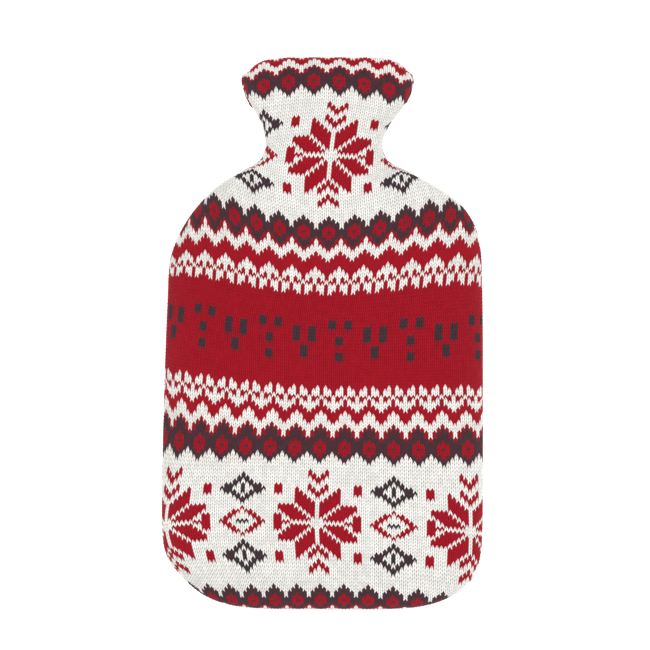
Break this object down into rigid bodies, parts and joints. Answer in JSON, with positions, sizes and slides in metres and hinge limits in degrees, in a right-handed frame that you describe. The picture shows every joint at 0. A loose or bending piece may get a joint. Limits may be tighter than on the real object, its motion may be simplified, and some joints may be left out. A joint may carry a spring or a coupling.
{
  "type": "hot water bottle cover",
  "caption": "Knitted cover in the shape of a hot water bottle, domed front and flat back, open at the flared neck, patterned with stars, diamonds and zigzag bands.",
  "frame": {"origin": "on the surface that the cover lies on, below the middle of its box", "axes": "+Y from the bottom of the cover to the neck mouth, +Z out of the front, +X to the viewer's right seen from the front with the neck up"},
  "size_m": [0.2001, 0.3442, 0.034],
  "materials": {
    "front_knit": "patterned wool knit, red, charcoal and cream",
    "back_knit": "patterned wool knit, red, charcoal and cream"
  },
  "bodies": {
    "root": {"front_panel": "front_knit", "back_panel": "back_knit"}
  },
  "joints": []
}
